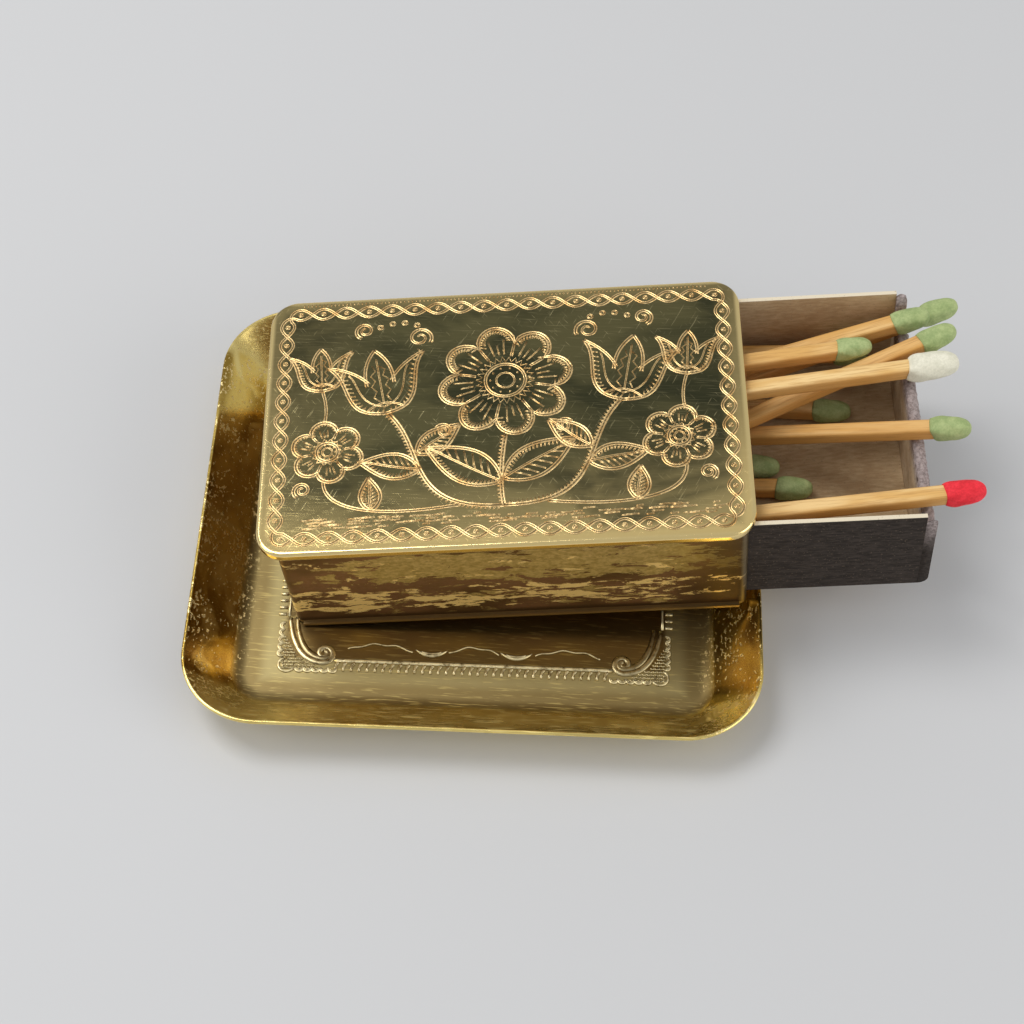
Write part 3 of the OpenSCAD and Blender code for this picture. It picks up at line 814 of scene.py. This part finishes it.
chance = np.random.default_rng(5)
stations = np.linspace(-drawer_side, drawer_side, 190)
inner_face, outer_face, end_sheet = 48.0, 49.3, 1.3
section = []
for top in end_height(stations):
    bend = top - end_sheet / 2
    inner = [(inner_face, z) for z in np.linspace(1.1, bend, 12)]
    round_top = arc(inner_face + end_sheet / 2, bend, end_sheet / 2, 180, 0, 13)
    outer = [(outer_face, z) for z in np.linspace(bend, 2.3, 12)[1:]]
    corner = arc(outer_face - 1.2, 2.3, 1.2, 0, -90, 7)
    section.append(np.vstack([inner, round_top, outer, corner]))
section = np.array(section)
upward = np.zeros(section.shape[1])
upward[11:26] = 1.0
upward[[9, 10, 26, 27]] = (0.3, 0.7, 0.7, 0.3)
outward_face = np.zeros(section.shape[1])
outward_face[25:] = 1.0
outer = np.maximum(outward_face[None], (np.abs(stations) > 16.3).astype(float)[:, None])
fuzz_x = chance.normal(0, 1, section.shape[:2])
fuzz_z = chance.normal(0, 1, section.shape[:2])
for k in range(2):
    fuzz_x = (fuzz_x + np.roll(fuzz_x, 1, 0) + np.roll(fuzz_x, 1, 1)) / 1.9
    fuzz_z = (fuzz_z + np.roll(fuzz_z, 1, 0) + np.roll(fuzz_z, 1, 1)) / 1.9
x = section[..., 0] + 0.030 * np.clip(fuzz_x, -2, 2) * (0.2 + upward)[None] - 0.03 * outward_face[None]
z = section[..., 1] + (0.045 * np.clip(fuzz_z, -2, 2) - 0.09) * upward[None]
y = np.repeat(stations[:, None], section.shape[1], axis=1)
points = np.dstack([x, y, z]).reshape(-1, 3)
end_wall = build("drawer_end_worn", leaning(points), tube_faces(*section.shape[:2]), "drawer",
                 upward=np.tile(upward, len(stations)), outer=outer.ravel())
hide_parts("drawer_end_right")
end_board, shader, place = material("end_board", roughness=0.92, Specular_IOR_Level=0.2)
fuzz = place.stretched(2.5, 2.5, 2.5).noise(1.0, 5.0, 0.7)
blotch = place.stretched(0.3, 0.3, 0.3).noise(1.0, 3.0, 0.6)
tone = (fuzz * 0.5 + blotch * 0.5).step(0.35, 0.65).mix((0.42, 0.30, 0.18), (0.60, 0.47, 0.31))
# painted shade on the outer faces of the end wall
tone = place.mark("outer").mix(tone, fuzz.step(0.3, 0.7).mix(board_shade_dark, board_shade_pale))
tone = place.mark("upward").mix(tone, fuzz.step(0.3, 0.7).mix((0.20, 0.16, 0.15), (0.48, 0.40, 0.38)))
feed(shader, Base_Color=tone, Normal=bumped(fuzz, 0.6, 0.15))
wear(end_wall, end_board)
wear(frame["nodes"]["drawer_tray"], drawer_board)
wear(frame["nodes"]["drawer_end_left"], drawer_board)
wear(frame["nodes"]["matchbox_sleeve"], sleeve_board)
striker_rough, shader, place = material("striker_rough", roughness=0.95)
grain = place.stretched(5, 5, 5).noise(1.0, 3.0, 0.6)
feed(shader, Base_Color=grain.step(0.35, 0.65).mix((0.16, 0.08, 0.06), (0.30, 0.17, 0.13)),
     Normal=bumped(grain, 0.6, 0.05))
wear(frame["nodes"]["striker_front"], striker_rough)
wear(frame["nodes"]["striker_back"], striker_rough)

# The matches are square splints of pale aspen, slightly bowed, with softened edges. Each is
# dipped in a gritty head that swells from the collar and closes in an egg-shaped tip.
stick_half = 0.95
drawer_end, inner_left, inner_side = outer_face, -2.4, 15.95


def match_lies(name, head_at, z_head, z_tail, turn, length, head_long, head_wide, kind):
    """Where a match lies: its head's centre in the matchbox's frame and its direction."""
    slope = math.asin((z_head - z_tail) / (length - head_long / 2))
    turn = math.radians(turn)
    way = np.array([math.cos(slope) * math.cos(turn), math.cos(slope) * math.sin(turn), math.sin(slope)])
    return dict(name=name, centre=np.array([*head_at, z_head]), way=way, length=length,
                head_long=head_long, head_wide=head_wide, kind=kind)


def from_left(gap, run, turn):
    """How far along a head lies whose match starts gap from the drawer's left end."""
    return inner_left + gap + run * math.cos(math.radians(turn))


matches = [
    match_lies("a", (drawer_end + 4, inner_side - 0.75), drawer_rim - 2.7, drawer_floor + 5,
               14, 40, 4.6, 1.4, "green"),
    match_lies("b", (drawer_end + 0.2, inner_side - 3.25), drawer_rim - 1, drawer_floor + 7,
               9.5, 40, 4.4, 1.4, "green"),
    match_lies("c", (drawer_end + 2.9, inner_side - 6.55), drawer_rim - 0.4, drawer_floor + 4.5,
               16, 40, 4.6, 1.4, "green"),
    match_lies("d", (drawer_end - 7.1, inner_side - 6.95), drawer_rim - 1.3, drawer_rim - 1.3,
               6.5, 40, 4.4, 1.3, "green"),
    match_lies("e", (from_left(5.1, 37.7, 7), inner_side - 8.35), drawer_floor + 1.7,
               drawer_floor + 1.15, -7, 40, 4.6, 1.4, "green"),
    match_lies("f", (drawer_end + 2.8, inner_side - 20.35), drawer_rim, drawer_floor + 1.15,
               -15.5, 39.6, 4.6, 1.4, "green"),
    match_lies("g", (from_left(1.5, 31.8, 5), inner_side - 16.15), drawer_floor + 1.6,
               drawer_floor + 1.15, -5, 34, 4.4, 1.4, "green"),
    match_lies("h", (from_left(1.2, 35.8, 4), inner_side - 19.55), drawer_floor + 1.6,
               drawer_floor + 1.1, -4, 38, 4.4, 1.4, "green"),
    match_lies("j", (drawer_end - 6.7, inner_side - 2.65), drawer_floor + 5.9, drawer_floor + 5.9,
               -2.5, 40, 4.4, 1.4, "green"),
    match_lies("r", (drawer_end + 3.4, 3.15 - inner_side), drawer_rim - 0.8, drawer_floor + 10.1,
               1.4, 40, 4.8, 1.45, "red"),
    match_lies("w", (drawer_end + 1.9, inner_side - 10.45), drawer_rim - 0.9, drawer_rim - 0.9,
               6, 40, 6.2, 1.7, "white"),
]


def match_frame(m):
    """Rows: along the match, across it and above it, in the tray's frame."""
    across = np.cross([0, 0, 1.0], m["way"])
    across /= np.linalg.norm(across)
    return np.stack([m["way"], across, np.cross(m["way"], across)]) @ box_frame


def splint(m, seed):
    """A square bar with softened edges: the section is a superellipse of power 9 and half side
    0.95 mm, and the middle of the bar bows by a few hundredths of a millimetre."""
    tail, tip = m["head_long"] / 2 - m["length"], 0.12 * m["head_long"]
    along = np.concatenate([[tail, tail, tail + 0.12], np.linspace(tail + 1, tip - 0.5, 30), [tip, tip]])
    a = np.radians(np.arange(0, 360, 15)) + math.radians(7.5)
    c, s = np.cos(a), np.sin(a)
    bulge = (np.abs(c) ** 9 + np.abs(s) ** 9) ** (-1 / 9)
    size = np.full(len(along), stick_half * 0.985)
    size[0], size[1], size[-1] = 0.02, stick_half * 0.9, 0.02
    wave = 0.02 * np.sin(along * 0.55 + seed) + 0.012 * np.sin(along * 1.7 + 2 * seed)
    bow = 0.03 * np.sin(along * 0.12 + seed)
    y = size[:, None] * (bulge * c)[None] * (1 + wave[:, None] * 0.6) + bow[:, None]
    z = size[:, None] * (bulge * s)[None] * (1 - wave[:, None] * 0.6)
    x = np.repeat(along[:, None], len(a), axis=1)
    points = np.dstack([x, y, z]).reshape(-1, 3) @ match_frame(m) + leaning(m["centre"])
    # the last thing returned marks the side faces, which the wood darkens as painted shade
    return points, tube_faces(len(along), len(a)), np.tile((np.abs(c) > np.abs(s)).astype(float), len(along))


def dipped(m, seed):
    """A head: half size swells from the collar as a sine and closes at the tip; its section
    goes from nearly square at the collar (superellipse power 6.5) to round (power 2), and a
    sum of sines of angle and length makes it lumpy."""
    half, wide = m["head_long"] / 2, m["head_wide"]
    blunt = 0.66 if m["kind"] == "white" else 0.78
    t = np.linspace(0, 1, 30)
    belly = -0.05 * m["head_long"]
    collar = math.acos((1.0 / wide) ** (1 / blunt))
    angle = -collar + (math.pi / 2 + collar) * t
    x = np.where(angle < 0, belly + (half + belly) * np.sin(angle) / math.sin(collar),
                 belly + (half - belly) * np.sin(np.maximum(angle, 0)))
    r = wide * np.maximum(np.cos(angle), 0) ** blunt
    r[-1] = 0.03
    power = 2 + 4.5 * (1 - np.clip(t / 0.4, 0, 1)) ** 2
    a = np.linspace(0, 2 * math.pi, 41)[:-1]
    c, s = np.abs(np.cos(a))[None], np.abs(np.sin(a))[None]
    square = (c ** power[:, None] + s ** power[:, None]) ** (-1 / power[:, None])
    square = np.minimum(square, 1.28)
    around, on = a[None], t[:, None]
    lump = 0.025 * np.sin(3 * around + 5 * on + seed) + 0.02 * np.sin(7 * around - 9 * on + seed)
    lump = (lump + 0.012 * np.sin(13 * around + 17 * on)) * np.minimum(1, on * 4)
    radius = r[:, None] * square * (1 + lump)
    slant = 0.22 * np.cos(a + seed * 2) * (1 - t[:, None]) ** 5
    points = np.dstack([x[:, None] + slant, radius * np.cos(a), radius * np.sin(a)])
    inner = np.dstack([np.broadcast_to(x[0] + 0.5, (1, 40)), 0.5 * np.cos(a)[None], 0.5 * np.sin(a)[None]])
    points = np.concatenate([inner, points]).reshape(-1, 3) @ match_frame(m) + leaning(m["centre"])
    return points, tube_faces(31, 40)


# how orange each splint is
warmth = dict(a=0.45, b=0.4, c=0.5, d=0.25, e=0.3, f=0.6, g=0.4, h=0.4, j=0.25, r=0.12, w=0.0)


def wood(name, m):
    """Aspen: long thin grain along the splint, an orange tinge in patches, darker fibres and a painted shade
    on the side faces.
    """
    made, shader, place = material(name, roughness=0.62)
    way = match_frame(m)[0]
    grain_turn = (0.0, -math.asin(way[2]), math.atan2(way[1], way[0]))
    along = turned_back(place, grain_turn)
    grain = along.stretched(0.22, 5.0, 5.0).noise(1.0, 3.0, 0.6)
    tinge = along.stretched(0.12, 0.6, 0.6).noise(1.0, 2.0, 0.5)
    orange = warmth[m["name"]]
    deep = tuple(a + (b - a) * orange for a, b in zip((0.78, 0.46, 0.14), (0.66, 0.31, 0.06)))
    pale = tuple(a + (b - a) * orange for a, b in zip((0.92, 0.64, 0.28), (0.72, 0.36, 0.08)))
    tone = tinge.step(0.35, 0.65).mix(deep, pale)
    # painted shade: the splint's side faces are painted a deeper orange
    tone = (place.mark("sawn") * 0.7).mix(tone, (0.62, 0.29, 0.06))
    tone = (grain.step(0.48, 0.66) * 0.5).mix(tone, (0.48, 0.22, 0.05))
    feed(shader, Base_Color=tone, Normal=bumped(grain, 0.35, 0.05))
    return made


head_tones = {"green": ((0.30, 0.39, 0.145), (0.46, 0.54, 0.23)),
              "red": ((0.74, 0.010, 0.022), (1.0, 0.032, 0.052)),
              "white": ((0.74, 0.71, 0.55), (0.92, 0.88, 0.71))}
head_paste = {}
for kind, (deep, pale) in head_tones.items():
    made, shader, place = material(kind + "_paste", roughness=0.72)
    grit = place.stretched(4, 4, 4).noise(1.0, 4.0, 0.7)
    patch = place.stretched(0.9, 0.9, 0.9).noise(1.0, 2.0, 0.5)
    feed(shader, Base_Color=(grit * 0.5 + patch * 0.5).step(0.35, 0.65).mix(deep, pale),
         Normal=bumped(grit, 0.55, 0.12))
    head_paste[kind] = made
for seed, m in enumerate(matches):
    body_name = "match_" + m["name"]
    points, faces, sawn = splint(m, seed * 1.3)
    stick = build("splint_" + m["name"], points, faces, body_name, sawn=sawn)
    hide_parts("stick_" + m["name"])
    wear(stick, wood("aspen_" + m["name"], m))
    points, faces = dipped(m, seed * 0.9)
    head = build("paste_" + m["name"], points, faces, body_name)
    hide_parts("head_" + m["name"])
    wear(head, head_paste[m["kind"]])

# The stage is a plain pale floor with large soft lamps above and to the sides.
bpy.ops.mesh.primitive_plane_add(size=4, location=(0, 0, 0))
table = bpy.context.object
table.name = "floor"
floor_paint, shader, place = material("floor_paint", roughness=0.6)
shader.inputs["Base Color"].default_value = (0.62, 0.62, 0.62, 1)
wear(table, floor_paint)


def lamp(name, at, size, power):
    """A square soft lamp at a place in metres, turned to the holder."""
    light = bpy.data.lights.new(name, "AREA")
    light.shape = "SQUARE"
    light.size = size
    light.energy = power
    made = bpy.data.objects.new(name, light)
    made.location = at
    made.rotation_euler = (-Vector(at)).to_track_quat("-Z", "Y").to_euler()
    bpy.context.scene.collection.objects.link(made)


lamp("key", (-0.244, 0.141, 0.530), 0.25, 1.35)
lamp("side", (0.50, -0.20, 0.24), 0.4, 1.1)
lamp("left", (-0.50, -0.10, 0.34), 0.3, 0.7)
world = bpy.context.scene.world or bpy.data.worlds.new("world")
bpy.context.scene.world = world
world.use_nodes = True
sky = world.node_tree.nodes["Background"].inputs
sky["Color"].default_value = (0.75, 0.76, 0.78, 1)
sky["Strength"].default_value = 0.65
bpy.context.scene.view_settings.view_transform = "Standard"
